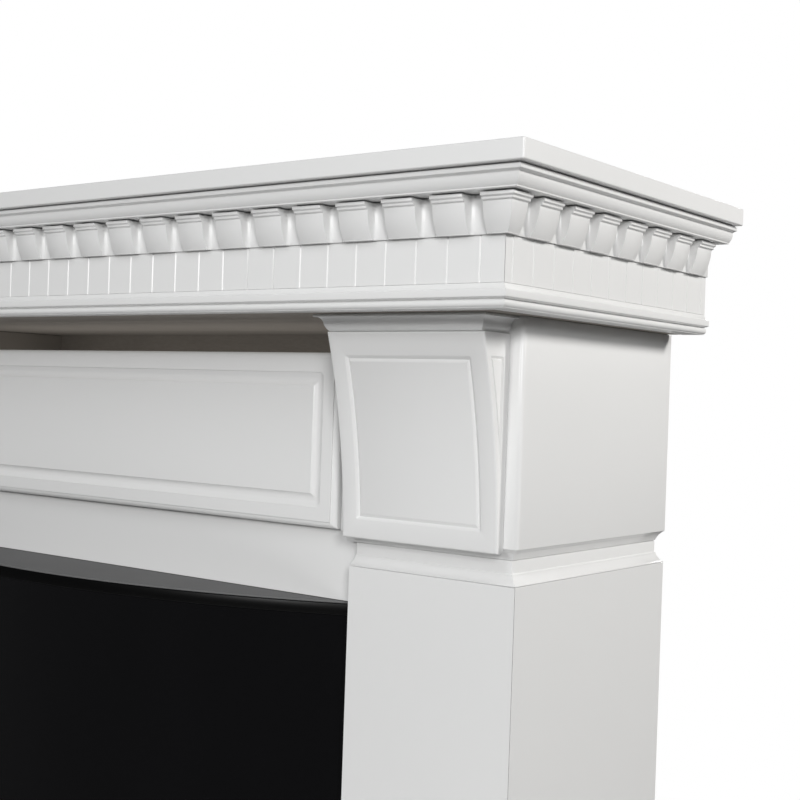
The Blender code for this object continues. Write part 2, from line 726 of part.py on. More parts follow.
def make_header(collection):
    half = end(CASING_INNER_INSET) - HEADER_END_GAP
    levels = [(0.0, HEADER_THICK), *header_levels()]
    loops = []
    for inset, depth in levels:
        y = front(HEADER_FRONT_INSET) + depth
        loops.append([(-half + inset, y, HEADER_FOOT + inset), (half - inset, y, HEADER_FOOT + inset),
                      (half - inset, y, HEADER_TOP - inset), (-half + inset, y, HEADER_TOP - inset)])
    lofted("header_panel", loops, collection, painted("header_panel"))
    apron_front = front(APRON_FRONT_INSET)
    apron_half = OPENING_HALF - GAP
    box("apron_board", (-apron_half, apron_front, OPENING_TOP),
        (apron_half, apron_front + APRON_THICK, HEADER_TOP), collection, painted("apron_board"))


def make_base_boards(collection):
    half = OPENING_HALF - GAP
    rail_front = front(APRON_FRONT_INSET)
    hearth_foot = HEARTH_HIGH - BOARD_THICK
    back = DEPTH / 2 - BACK_BOARD_THICK
    box("bottom_rail", (-half, rail_front, 0.0),
        (half, rail_front + BOARD_THICK, hearth_foot - GAP), collection, painted("bottom_rail"))
    box("hearth_board", (-half, rail_front, hearth_foot), (half, back - GAP, HEARTH_HIGH),
        collection, painted("hearth_board"))
    back_half = end(LEG_SIDE_INSET + BOARD_THICK) - GAP
    box("back_board", (-back_half, back, 0.0), (back_half, DEPTH / 2, SHELF_UNDER - GAP), collection,
        make_material("back_board_raw", RAW_BOARD, RAW_ROUGH))


def bow_line(half, setback):
    """Points of the fire's bowed front between two ends, this far behind its face."""
    radius = FIRE_BOW_RADIUS - setback
    centre = front(FIRE_APEX_INSET) + FIRE_BOW_RADIUS
    points = []
    for step in range(FIRE_BOW_STEPS + 1):
        angle = math.asin(half / radius) * (2 * step / FIRE_BOW_STEPS - 1)
        points.append((radius * math.sin(angle), centre - radius * math.cos(angle)))
    return points


def make_fire(collection, cutters):
    back = front(FIRE_BACK_INSET)
    black = make_material("fire_frame_metal", BLACK_METAL, BLACK_ROUGH, BLACK_METALLIC)
    grey = make_material("fire_plate_metal", GREY_METAL, GREY_ROUGH, GREY_METALLIC)
    plate = bow_line(FIRE_HALF, 0.0) + [(FIRE_HALF, back), (-FIRE_HALF, back)]
    extruded_plan("fire_base_plate", plate, FIRE_FOOT, FIRE_FOOT + FIRE_SHEET, collection, grey)
    extruded_plan("fire_top_plate", plate, FIRE_TOP - FIRE_SHEET, FIRE_TOP, collection,
                  grey.copy())
    low = FIRE_FOOT + FIRE_SHEET + GAP
    high = FIRE_TOP - FIRE_SHEET - GAP
    band = bow_line(FIRE_HALF, 0.0) + bow_line(FIRE_HALF, FIRE_FRAME_THICK)[::-1]
    frame = extruded_plan("fire_frame", band, low, high, collection, black)
    window_half = FIRE_HALF - FIRE_FRAME_STILE
    window_low = low + FIRE_FRAME_BAND
    window_high = high - FIRE_FRAME_BAND
    cut(frame, box("fire_window", (-window_half, front(0.0), window_low),
                   (window_half, back, window_high), cutters))
    glass_half = window_half - GAP
    glass = bow_line(glass_half, FIRE_GLASS_SETBACK)
    glass += bow_line(glass_half, FIRE_GLASS_SETBACK + FIRE_GLASS_THICK)[::-1]
    extruded_plan("fire_glass", glass, window_low + GAP, window_high - GAP, collection,
                  make_material("fire_glass_black", BLACK_GLASS, GLASS_ROUGH))
    wall_start = bow_line(FIRE_HALF, FIRE_FRAME_THICK)[-1][1] + GAP
    inner = FIRE_HALF - FIRE_SHEET
    wrap = [(FIRE_HALF, wall_start), (FIRE_HALF, back), (-FIRE_HALF, back),
            (-FIRE_HALF, wall_start), (-inner, wall_start), (-inner, back - FIRE_SHEET),
            (inner, back - FIRE_SHEET), (inner, wall_start)]
    extruded_plan("fire_housing", wrap, low, high, collection,
                  make_material("fire_housing_metal", GREY_METAL, GREY_ROUGH, GREY_METALLIC))


def main():
    for old in list(bpy.data.objects):
        bpy.data.objects.remove(old, do_unlink=True)
    collection = bpy.data.collections.new("fireplace_mantelpiece")
    cutters = bpy.data.collections.new("cutters")
    for group in (collection, cutters):
        bpy.context.scene.collection.children.link(group)
    make_cornice(collection, cutters)
    for end_name, side in (("left", -1), ("right", 1)):
        make_leg(end_name, side, collection, cutters)
    make_header(collection)
    make_base_boards(collection)
    make_fire(collection, cutters)


main()
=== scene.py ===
"""The finish of a painted fire surround: fine mouldings, satin paint, a black fire, soft light."""

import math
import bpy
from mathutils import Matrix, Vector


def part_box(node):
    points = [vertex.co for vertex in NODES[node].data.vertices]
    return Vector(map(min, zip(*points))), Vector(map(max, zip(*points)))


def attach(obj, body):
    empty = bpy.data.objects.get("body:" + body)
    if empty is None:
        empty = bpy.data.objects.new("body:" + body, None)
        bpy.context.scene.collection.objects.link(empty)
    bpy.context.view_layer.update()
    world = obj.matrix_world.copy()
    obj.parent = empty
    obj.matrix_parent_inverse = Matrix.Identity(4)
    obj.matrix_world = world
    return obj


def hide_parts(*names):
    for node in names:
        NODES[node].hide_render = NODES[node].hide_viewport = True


bl_info = {
    "name": "Fire Surround Finish",
    "version": (1, 0, 0),
    "blender": (4, 5, 0),
    "location": "3D View > Sidebar > Surround",
    "description": "Dresses a plain fire surround in fine mouldings, paint, metal and glass",
    "category": "Object",
}

import bmesh
import bpy
from bpy.props import FloatProperty, FloatVectorProperty, PointerProperty
from mathutils import Matrix, Vector

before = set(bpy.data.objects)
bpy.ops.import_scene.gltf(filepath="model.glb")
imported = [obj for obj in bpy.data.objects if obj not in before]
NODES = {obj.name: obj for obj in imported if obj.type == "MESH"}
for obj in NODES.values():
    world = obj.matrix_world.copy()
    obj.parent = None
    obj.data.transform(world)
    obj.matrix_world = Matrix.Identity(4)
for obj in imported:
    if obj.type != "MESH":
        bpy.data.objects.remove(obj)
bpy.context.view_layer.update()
HALF_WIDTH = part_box("mantel_shelf")[1].x
HALF_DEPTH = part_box("mantel_shelf")[1].y
ENDS = (("left", -1), ("right", 1))

MITRE_GAP = 0.00004
# How far a guide runs past the piece that it cuts
CUT_PAST = 0.002
# Points closer than this become one, in a finished piece and in a plain board
PIECE_WELD = 0.000002
BOARD_WELD = 0.00001
# Half the width of a softened line, and the radius of a corner that looks square
SOFT_LINE = 0.0003
CRISP_CORNER = 0.0004
# The most that a rounded corner takes of the shorter edge beside it
CORNER_SHARE = 0.45
# Corner radius of a corbel's rounded edge, as a share of the edge's own
EDGE_CORNER_SHARE = 0.3
# Halvings that find the height where the panel in a corbel's side ends
HALVINGS = 40
# What the noise in a roughness adds on average
MEAN_NOISE = 0.05
SENSOR_WIDE = 36.0
# How a section's depth goes inwards and backwards: on the front, at a mitre and on an end
SQUARE = (0, 1)
MITRED = (1, 1)
TURNED = (1, 0)

WHITE = (1.0, 1.0, 1.0)
WARM = (1.0, 0.985, 0.96)
COOL = (0.97, 0.99, 1.0)

# Each lamp's name and setting, its place from the middle of the shelf's top, its size and colour
LAMPS = (
    ("front", "front_power", (0.35, -3.6, 0.62), 0.5, WHITE),
    ("right_side", "side_power", (1.90, 0.80, 0.55), 0.3, WARM),
    ("right_front", "corner_power", (2.5, -2.2, 0.62), 0.7, WHITE),
    ("overhead", "top_power", (0.9, -2.1, 1.9), 1.3, COOL),
    ("behind", "back_power", (-0.9, 3.2, 0.5), 1.2, WHITE),
)
LAMP_AIM = (0.45, -0.1, -0.15)
SLOT_LAMP = (0.0, 0.06, -0.24)
SLOT_LAMP_WIDE = 0.74
SLOT_LAMP_DEEP = 0.12


def length(name, default, description):
    return FloatProperty(name=name, description=description, default=default, unit="LENGTH",
                         precision=4)


def share(name, default, description):
    return FloatProperty(name=name, description=description, default=default, min=0.0, max=1.0)


def amount(name, default, description, unit="POWER"):
    return FloatProperty(name=name, description=description, default=default, min=0.0, unit=unit)


def colour(name, default, description):
    return FloatVectorProperty(name=name, description=description, default=default,
                               subtype="COLOR", size=3, min=0.0, max=1.0)


def turn(name, degrees, description):
    return FloatProperty(name=name, description=description, default=math.radians(degrees),
                         unit="ROTATION")


class SURROUND_PG_cornice(bpy.types.PropertyGroup):
    """Sizes inside the sections of the cornice mouldings."""

    ease: length("Edge radius", 0.0005, "Roundness of the painted edges of a moulding")
    board_ease: length("Board edge radius", 0.0008, "Roundness of the edges of plain boards")
    crown_rebate_deep: length("Crown rebate depth", 0.0013, "Shadow line under the shelf, back")
    crown_rebate_high: length("Crown rebate height", 0.0009, "Shadow line under the shelf, down")
    crown_fillet_high: length("Crown fillet height", 0.0035, "Upright band at the crown's top")
    crown_quirk_deep: length("Crown quirk depth", 0.0034, "Step back under the fillet")
    crown_quirk_high: length("Crown quirk height", 0.0010, "Height of the step under the fillet")
    crown_belly_step: length("Crown belly step", 0.0008, "Step from the quirk to the belly")
    crown_belly_bulge: length("Crown belly bulge", 0.0012, "Swelling of the crown's lower curve")
    crown_foot_inset: length("Crown foot inset", 0.0141, "Foot of the crown behind the shelf edge")
    crown_foot_high: length("Crown foot height", 0.0012, "Upright edge at the crown's foot")
    block_wide: length("Block width", 0.031, "Width of one block")
    block_pitch: length("Block pitch", 0.048, "Distance from one block to the next")
    end_corner_block: length("End corner block", 0.0275, "Corner block's width on the end")
    block_lip_high: length("Block lip height", 0.0027, "Upright lip at a block's top")
    block_fillet_inset: length("Block fillet inset", 0.0021, "Fillet of a block behind its lip")
    block_fillet_top: length("Block fillet top", 0.0036, "Top of that fillet under a block's top")
    block_fillet_high: length("Block fillet height", 0.0018, "Height of that fillet")
    block_neck_inset: length("Block neck inset", 0.0244, "Neck of a block behind the shelf edge")
    block_neck_high: length("Block neck height", 0.0063, "Drop from a block's top to its neck")
    block_belly_high: length("Block belly height", 0.0007, "Upright step under the neck")
    block_belly_bulge: length("Block belly bulge", 0.0014, "Swelling of a block's long curve")
    block_foot_inset: length("Block foot inset", 0.0317, "Foot of a block behind the shelf edge")
    block_foot_high: length("Block foot height", 0.0005, "Upright edge at a block's foot")
    block_web: length("Block web", 0.0017, "Thickness of the strip between blocks")
    block_hollow: length("Block gap radius", 0.0035, "Roundness at the back of each gap")
    base_lift: length("Base lift", 0.00025, "Closes the joint between frieze and base")
    base_cove_hollow: length("Base cove hollow", 0.0010, "Hollow of the frieze base's flare")
    base_cove_high: length("Base cove height", 0.0052, "Height of the frieze base's flare")
    base_lip_high: length("Base lip height", 0.0057, "Upright lip of the frieze base")
    base_quirk_inset: length("Base quirk inset", 0.0372, "Quirk behind the shelf edge")
    base_quirk_high: length("Base quirk height", 0.0016, "Height of the quirk under the lip")
    base_bead_bulge: length("Base bead bulge", 0.0026, "Swelling of the bead below the quirk")
    base_bead_foot: length("Base bead foot", 0.0006, "Upright edge under the bead")


class SURROUND_PG_leg(bpy.types.PropertyGroup):
    """Sizes inside the legs, corbels and caps."""

    ease: length("Edge radius", 0.0009, "Roundness of a leg's painted edges")
    corner_radius: length("Casing corner radius", 0.0045, "Folded corner of a leg's upper block")
    cove_high: length("Cove height", 0.0105, "Height of the cove under a leg's upper block")
    cove_hollow: length("Cove hollow", 0.0013, "Hollow of that cove")
    recess: length("Neck recess", 0.0104, "Depth of a leg's neck behind its face")
    band_high: length("Neck band height", 0.0110, "Height of the neck's flat band")
    flare_hollow: length("Neck flare hollow", 0.0011, "Hollow of the neck's flare")
    flare_lip: length("Neck flare lip", 0.0008, "Upright edge at the flare's foot")
    neck_bead: length("Neck bead", 0.0018, "Small step out between the neck's band and flare")
    cap_lip_high: length("Cap lip height", 0.0024, "Upright lip of a corbel's cap")
    cap_lip_step: length("Cap lip step", 0.0030, "Step in under the cap's lip")
    cap_waist_inset: length("Cap waist inset", 0.0070, "Waist of the cap behind its lip")
    cap_waist_high: length("Cap waist height", 0.0080, "Drop from the cap's top to its waist")
    cap_hollow: length("Cap hollow", 0.0009, "Hollow of the cap's upper curve")
    cap_foot_inset: length("Cap foot inset", 0.0108, "Foot of the cap behind its lip")
    cap_bulge: length("Cap bulge", 0.0006, "Swelling of the cap's lower curve")
    corbel_ease: length("Corbel edge radius", 0.0020, "Roundness of a corbel's front edges")
    corbel_foot_reach: length("Corbel foot reach", 0.0090, "Corbel's reach at its foot")
    corbel_arc: length("Corbel arc radius", 0.683, "Radius of a corbel's hollow front")


class SURROUND_PG_panel(bpy.types.PropertyGroup):
    """Sizes of the sunk panels with raised fields."""

    side_border: length("Corbel side border", 0.0165, "Border beside a corbel's panel")
    top_border: length("Corbel top border", 0.0205, "Border above a corbel's panel")
    foot_border: length("Corbel foot border", 0.0175, "Border below a corbel's panel")
    bevel_wide: length("Corbel bevel width", 0.0026, "Slope down from the border")
    bevel_deep: length("Corbel bevel depth", 0.0024, "Depth of that slope")
    floor_wide: length("Corbel floor width", 0.0005, "Flat bottom of the sunk line")
    step_wide: length("Corbel step width", 0.0024, "Width of the rise to the field")
    step_high: length("Corbel step height", 0.0017, "Height of the rise to the field")
    round_corner: length("Corbel panel corner", 0.0020, "Corner radius of a corbel's panel")
    cheek_top: length("Cheek top border", 0.0197, "Border above the panel in a corbel's side")
    cheek_back: length("Cheek back border", 0.0082, "Border behind that panel")
    cheek_front: length("Cheek front border", 0.0058, "Border in front of that panel")
    cheek_bevel: length("Cheek bevel width", 0.0022, "Slope down from that border")
    cheek_deep: length("Cheek bevel depth", 0.0016, "Depth of that slope")
    cheek_step: length("Cheek step width", 0.0008, "Width of the rise to its field")
    cheek_rise: length("Cheek step height", 0.0009, "Height of the rise to its field")
    edge_wide: length("Header edge width", 0.0057, "Width of the header's moulded edge")
    edge_deep: length("Header edge depth", 0.0042, "Depth of the header's moulded edge")
    edge_bulge: length("Header edge bulge", 0.0013, "Swelling of the header's moulded edge")
    edge_step: length("Header edge step", 0.0012, "Small step between border and edge")
    frame_wide: length("Header border width", 0.0130, "Flat border of the header")
    header_quirk: length("Header quirk", 0.0010, "Small step down where the border ends")
    header_bevel_wide: length("Header bevel width", 0.0052, "Slope down from the border")
    header_bevel_deep: length("Header bevel depth", 0.0034, "Depth of that slope")
    header_floor: length("Header floor width", 0.0012, "Flat bottom of the sunk line")
    header_step: length("Header cove width", 0.0063, "Width of the hollow rise to the field")
    header_rise: length("Header cove height", 0.0026, "Height of the hollow rise to the field")
    header_hollow: length("Header cove hollow", 0.0009, "Hollow of the rise to the field")
    header_corner: length("Header corner radius", 0.0050, "Corner radius of the sunk line")


class SURROUND_PG_fire(bpy.types.PropertyGroup):
    """Sizes of the bowed electric fire."""

    ease: length("Edge radius", 0.0009, "Roundness of the fire's metal edges")
    bow_radius: length("Bow radius", 0.799, "Radius of the fire's bowed front, seen from above")
    stile: length("Frame stile", 0.012, "Width of the frame's upright sides")
    band: length("Frame band", 0.011, "Height of the frame's top and bottom bands")
    glass_setback: length("Glass setback", 0.0012, "Depth of the glass behind the frame's face")
    glass_thick: length("Glass thickness", 0.004, "Thickness of the glass")


class SURROUND_PG_finish(bpy.types.PropertyGroup):
    """Colours and gloss of every finish."""

    white: colour("White paint", (0.80, 0.80, 0.795), "Satin paint of the whole surround")
    white_rough: share("White roughness", 0.30, "Roughness of the satin paint")
    # Dark warm grey of the unpainted boards, darkened to paint the shade inside the slot above the
    # header
    raw_and_shade: colour("Raw board", (0.27, 0.245, 0.218), "Unpainted board seen in shadow")
    black: colour("Black metal", (0.0012, 0.0012, 0.0013), "Powder coat of the fire's frame")
    grey: colour("Grey metal", (0.15, 0.15, 0.151), "Powder coat of the fire's case")
    glass: colour("Black glass", (0.003, 0.003, 0.0035), "Toughened glass of the fire")


class SURROUND_PG_stage(bpy.types.PropertyGroup):
    """Camera, floor and light."""

    azimuth: turn("Camera azimuth", 37.27, "Turn of the camera to the left of straight ahead")
    pitch: turn("Camera pitch", -0.12, "Tilt of the camera below level")
    roll: turn("Camera roll", -1.97, "Roll of the camera about its own line of sight")
    lens: FloatProperty(name="Lens", description="Focal length on a 36 mm wide sensor",
                        default=59.61, unit="CAMERA")
    beside: length("Camera beside", 0.5166, "Camera to the right of the shelf's right end")
    before: length("Camera before", 0.8173, "Camera in front of the shelf's front edge")
    below: length("Camera below", 0.1931, "Camera below the shelf's top")
    floor_radius: length("Floor radius", 1.25, "Radius of the round pale floor")
    floor_white: colour("Floor", (0.74, 0.74, 0.74), "Pale floor")
    backdrop: amount("Backdrop", 1.0, "Brightness of the plain white backdrop", "NONE")
    room_light: amount("Room light", 0.06, "Strength of the soft light from all round", "NONE")
    front_power: amount("Front light", 39.0, "Light from the front, a little above the shelf")
    side_power: amount("Side light", 21.0, "Small light from the right and a little behind")
    corner_power: amount("Corner light", 44.0, "Light from the right and in front")
    top_power: amount("Top light", 20.0, "Broad light from above and in front")
    back_power: amount("Back light", 45.0, "Soft light on the back of the surround")
    slot_power: amount("Slot light", 0.27, "Faint light behind the header, on the raw boards")


GROUPS = {
    "surround_cornice": SURROUND_PG_cornice,
    "surround_leg": SURROUND_PG_leg,
    "surround_panel": SURROUND_PG_panel,
    "surround_fire": SURROUND_PG_fire,
    "surround_finish": SURROUND_PG_finish,
    "surround_stage": SURROUND_PG_stage,
}


class Signal:
    """One shader socket, so that plain arithmetic on it adds Math nodes."""

    def __init__(self, tree, socket):
        self.tree = tree
        self.socket = socket

    def math(self, operation, first, second):
        node = self.tree.nodes.new("ShaderNodeMath")
        node.operation = operation
        for place, value in zip(node.inputs, (first, second)):
            if isinstance(value, Signal):
                self.tree.links.new(value.socket, place)
            else:
                place.default_value = value
        return Signal(self.tree, node.outputs[0])

    def __add__(self, other):
        return self.math("ADD", self, other)

    def __radd__(self, other):
        return self.math("ADD", other, self)

    def __mul__(self, other):
        return self.math("MULTIPLY", self, other)

    def __rmul__(self, other):
        return self.math("MULTIPLY", other, self)


class Finish:
    """A material, and the one method that adds any other node to it."""

    def __init__(self, name, **constants):
        self.material = bpy.data.materials.new(name)
        self.material.use_nodes = True
        self.tree = self.material.node_tree
        self.shader = self.tree.nodes["Principled BSDF"]
        for place, value in constants.items():
            self.shader.inputs[place.replace("_", " ")].default_value = value

    def node(self, kind, settings=None, output=0, **values):
        node = self.tree.nodes.new("ShaderNode" + kind)
        for key, value in (settings or {}).items():
            setattr(node, key, value)
        for place, value in values.items():
            self.feed(node.inputs[place.replace("_", " ")], value)
        return Signal(self.tree, node.outputs[output])

    def feed(self, socket, value):
        if isinstance(value, Signal):
            self.tree.links.new(value.socket, socket)
        else:
            socket.default_value = value

    def vary(self, socket, value):
        """Let a signal set one socket of the shader."""
        self.feed(self.shader.inputs[socket], value)

    def noise(self, scale, detail=2.0, stretch=(1.0, 1.0, 1.0)):
        """Noise fixed to the object, with its size given in waves per metre."""
        place = self.node("TexCoord", output=3)
        if stretch != (1.0, 1.0, 1.0):
            place = self.node("Mapping", Vector=place, Scale=stretch)
        return self.node("TexNoise", Vector=place, Scale=scale, Detail=detail)

    def tint(self, factor, first, second):
        """A colour between two, by a number from 0 to 1."""
        mix = self.tree.nodes.new("ShaderNodeMix")
        mix.data_type = "RGBA"
        self.feed(mix.inputs["Factor"], factor)
        mix.inputs[6].default_value = (*first, 1.0)
        mix.inputs[7].default_value = (*second, 1.0)
        return Signal(self.tree, mix.outputs[2])

    def clouded(self, factor, tone, least, most=1.0):
        """One colour, made darker and lighter by a number from 0 to 1."""
        darker, lighter = ([channel * part for channel in tone] for part in (least, most))
        return self.tint(factor, darker, lighter)

    def grain(self, height, distance, strength):
        """A bump from a height signal, in metres at full height."""
        normal = self.node("Bump", Height=height, Distance=distance, Strength=strength)
        self.vary("Normal", normal)


def satin_paint(settings):
    """Sprayed satin lacquer: nearly even, with a faint orange peel and soft cloudy gloss."""
    finish = Finish("satin_white_paint", Coat_Weight=0.08, Coat_Roughness=0.2)
    cloud = finish.noise(scale=7.0, detail=3.0)
    peel = finish.noise(scale=520.0)
    mottle = finish.noise(scale=60.0, detail=3.0)
    finish.vary("Base Color", finish.clouded(cloud, settings.white, least=0.985))
    finish.vary("Roughness", settings.white_rough - MEAN_NOISE + 0.06 * mottle + 0.04 * cloud)
    finish.grain(peel + 0.4 * mottle, distance=0.00003, strength=0.5)
    return finish.material


def raw_board(settings):
    """Unpainted pressed fibreboard, with short fibres and a dusty, uneven tone, darkened to paint
    the shade inside the slot above the header.
    """
    finish = Finish("raw_fibreboard")
    fibres = finish.noise(scale=420.0, detail=5.0, stretch=(0.25, 1.0, 1.0))
    cloud = finish.noise(scale=11.0, detail=3.0)
    blend = 0.6 * fibres + 0.4 * cloud
    finish.vary("Base Color", finish.clouded(blend, settings.raw_and_shade, least=0.72, most=1.25))
    finish.vary("Roughness", 0.72 + 0.2 * fibres)
    finish.grain(fibres, distance=0.0002, strength=0.6)
    return finish.material


def part_painted_and_shade(settings, edge):
    """A board painted white along its front strip and left dark raw behind a plane; the dark part,
    seen through the slot above the header, paints the slot's shade.
    """
    finish = Finish("part_painted_board")
    place = finish.node("TexCoord", output=3)
    along = finish.node("SeparateXYZ", output=1, Vector=place)
    drift = finish.noise(scale=30.0, detail=3.0)
    wander, fade = 0.006, 0.004
    # Mask of the dark raw part, which paints the shade seen through the slot
    raw_shade_mask = finish.node("MapRange", Value=along + wander * drift, From_Min=edge,
                       From_Max=edge + fade)
    finish.vary("Base Color", finish.tint(raw_shade_mask, settings.white, settings.raw_and_shade))
    finish.vary("Roughness", settings.white_rough + 0.4 * raw_shade_mask)
    finish.grain(finish.noise(scale=420.0, detail=4.0), distance=0.0001, strength=0.4)
    return finish.material


def powder_coat(name, tone, roughness, shine):
    """Baked powder coat on sheet metal, with its fine pebbled skin."""
    finish = Finish(name, Specular_IOR_Level=shine)
    pebble = finish.noise(scale=1500.0)
    cloud = finish.noise(scale=14.0, detail=3.0)
    finish.vary("Base Color", finish.clouded(cloud, tone, least=0.88, most=1.12))
    finish.vary("Roughness", roughness - MEAN_NOISE + 0.07 * cloud + 0.04 * pebble)
    finish.grain(pebble, distance=0.00004, strength=0.6)
    return finish.material


def black_glass(settings):
    """Toughened black glass: a clear gloss with faint wiping marks."""
    finish = Finish("black_toughened_glass", Specular_IOR_Level=0.5)
    wipe = finish.noise(scale=9.0, detail=4.0, stretch=(1.0, 1.0, 0.35))
    finish.vary("Base Color", finish.clouded(wipe, settings.glass, least=0.8, most=1.3))
    finish.vary("Roughness", 0.03 + 0.05 * wipe)
    finish.grain(wipe, distance=0.00002, strength=0.15)
    return finish.material


MATERIALS = {}


def finish_of(slot):
    """The material of a slot, made once."""
    if slot not in MATERIALS:
        settings = bpy.context.scene.surround_finish
        makers = {
            "white_paint": lambda: satin_paint(settings),
            "raw_board": lambda: raw_board(settings),
            "black_metal": lambda: powder_coat("black_powder_coat", settings.black,
                                               roughness=0.36, shine=0.18),
            "grey_metal": lambda: powder_coat("grey_powder_coat", settings.grey,
                                              roughness=0.58, shine=0.08),
            "black_glass": lambda: black_glass(settings),
        }
        MATERIALS[slot] = makers[slot]()
    return MATERIALS[slot]


def front(inset):
    """Y of a plane this far behind the shelf's front edge."""
    return inset - HALF_DEPTH


def end(inset):
    """Distance from the middle to a plane this far inside the shelf's end."""
    return HALF_WIDTH - inset


def swell(start, finish, bulge, steps=10):
    """Points on an arc between two section points, taken downwards; a positive bulge swells."""
    start = Vector(start)
    finish = Vector(finish)
    chord = finish - start
    half_angle = 2 * math.atan(2 * abs(bulge) / chord.length)
    radius = chord.length / (2 * math.sin(half_angle))
    along = chord.normalized()
    outward = Vector((-along.y, along.x)) * math.copysign(1.0, bulge)
    points = []
    for step in range(steps + 1):
        angle = half_angle * (2 * step / steps - 1)
        rise = radius * (math.cos(angle) - math.cos(half_angle))
        point = (start + finish) / 2 + along * (radius * math.sin(angle)) + outward * rise
        points.append((point.x, point.y))
    return points


def quarter(steps):
    """Angles from nothing to a quarter turn."""
    return [step / steps * math.pi / 2 for step in range(steps + 1)]


def soften(outline, radius, steps=3, sharp=25.0):
    """Round each corner of a closed outline that turns by more than a sharp angle."""
    points = [Vector(point) for point in outline]
    rounded = []
    for number, point in enumerate(points):
        before = points[number - 1] - point
        after = points[(number + 1) % len(points)] - point
        opening = before.angle(after)
        if math.pi - opening < math.radians(sharp):
            rounded.append(point)
            continue
        longest = CORNER_SHARE * min(before.length, after.length)
        reach = min(radius / math.tan(opening / 2), longest)
        first = point + before.normalized() * reach
        last = point + after.normalized() * reach
        for step in range(steps + 1):
            along = step / steps
            rounded.append(first.lerp(point, along).lerp(point.lerp(last, along), along))
    return [(point.x, point.y) for point in rounded]


def loft(bm, loops, close_end=True):
    """Skin a row of closed loops with quads; the first is capped, and the last if asked."""
    rings = [[bm.verts.new(point) for point in loop] for loop in loops]
    bm.faces.new(rings[0])
    for near, far in zip(rings, rings[1:]):
        for number in range(len(near)):
            after = (number + 1) % len(near)
            bm.faces.new((near[number], near[after], far[after], far[number]))
    if close_end:
        bm.faces.new(rings[-1][::-1])
    return rings


def pulled_up(outline, low, high):
    """Both ends of an upright form, from its outline in plan."""
    return [[(x, y, height) for x, y in outline] for height in (low, high)]


def shade_by_angle(mesh, degrees=32.0):
    mesh.shade_smooth()
    mesh.set_sharp_from_angle(angle=math.radians(degrees))


def mesh_of(bm, name):
    bmesh.ops.recalc_face_normals(bm, faces=bm.faces)
    mesh = bpy.data.meshes.new(name)
    bm.to_mesh(mesh)
    bm.free()
    return mesh


def add_object(name, data):
    item = bpy.data.objects.new(name, data)
    bpy.context.scene.collection.objects.link(item)
    return item


def make_piece(bm, name, slot, *replaced):
    """A finished piece in place of the plain ones."""
    bmesh.ops.remove_doubles(bm, verts=bm.verts, dist=PIECE_WELD)
    bmesh.ops.dissolve_degenerate(bm, edges=bm.edges, dist=PIECE_WELD)
    mesh = mesh_of(bm, name)
    shade_by_angle(mesh)
    mesh.materials.append(finish_of(slot))
    piece = add_object(name, mesh)
    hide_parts(*replaced)
    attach(piece, "root")
    return piece


def loft_piece(node, loops, slot="white_paint"):
    """A finished piece skinned over a row of loops."""
    bm = bmesh.new()
    loft(bm, loops)
    return make_piece(bm, node + "_fine", slot, node)


def apply_modifiers(piece):
    """Freeze a piece's modifiers into its mesh."""
    graph = bpy.context.evaluated_depsgraph_get()
    mesh = bpy.data.meshes.new_from_object(piece.evaluated_get(graph))
    piece.modifiers.clear()
    piece.data = mesh
    shade_by_angle(mesh)


def guide(bm, name):
    """A form to be cut out of a piece."""
    return add_object(name, mesh_of(bm, name))


def cut_away(piece, cutters):
    """Cut guides out of a piece and remove them."""
    for cutter in cutters:
        modifier = piece.modifiers.new("cut", "BOOLEAN")
        modifier.operation = "DIFFERENCE"
        modifier.solver = "EXACT"
        modifier.object = cutter
    apply_modifiers(piece)
    for cutter in cutters:
        bpy.data.objects.remove(cutter, do_unlink=True)


def bevel_edges(piece, width, degrees, segments=2):
    """Ease every edge that turns by more than an angle."""
    bevel = piece.modifiers.new("eased_edges", "BEVEL")
    bevel.width = width
    bevel.segments = segments
    bevel.limit_method = "ANGLE"
    bevel.angle_limit = math.radians(degrees)


def ease_piece(piece, width, degrees=50):
    bevel_edges(piece, width, degrees)
    apply_modifiers(piece)


def keep_node(name, slot, ease, segments=2):
    """Keep a plain board, with its edges eased and its finish on."""
    node = NODES[name]
    weld = node.modifiers.new("weld", "WELD")
    weld.merge_threshold = BOARD_WELD
    bevel_edges(node, ease, degrees=30, segments=segments)
    if not node.material_slots:
        node.data.materials.append(finish_of(slot))
    for place in node.material_slots:
        place.link = "OBJECT"
        place.material = finish_of(slot)


def placed(section, side, top, x, y, way):
    """A section's loop in space, with its corner at x and y; its points are depth and drop."""
    inwards, backwards = way
    return [(side * (x - inwards * depth), y + backwards * depth, top - drop)
            for depth, drop in section]


def cornice_runs(name, section):
    """Front and end runs of one moulding, mitred at the corners and square at the wall."""
    gap = MITRE_GAP / 2
    pieces = {}
    for place, side in (("front", 0), *ENDS):
        node = name + "_" + place
        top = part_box(node)[1].z
        if side:
            loops = [placed(section, side, top, HALF_WIDTH, gap - HALF_DEPTH, MITRED),
                     placed(section, side, top, HALF_WIDTH, HALF_DEPTH, TURNED)]
        else:
            loops = [placed(section, corner, top, HALF_WIDTH - gap, -HALF_DEPTH, MITRED)
                     for corner in (-1, 1)]
        pieces[side] = loft_piece(node, loops)
    return pieces


def from_middle(node):
    """Distances of a piece's inner and outer side from the middle."""
    low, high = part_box(node)
    return sorted((abs(low.x), abs(high.x)))


def section_of(node):
    """Front inset, back inset and height of a front moulding, from its plain solid."""
    low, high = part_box(node)
    return low.y + HALF_DEPTH, high.y + HALF_DEPTH, high.z - low.z


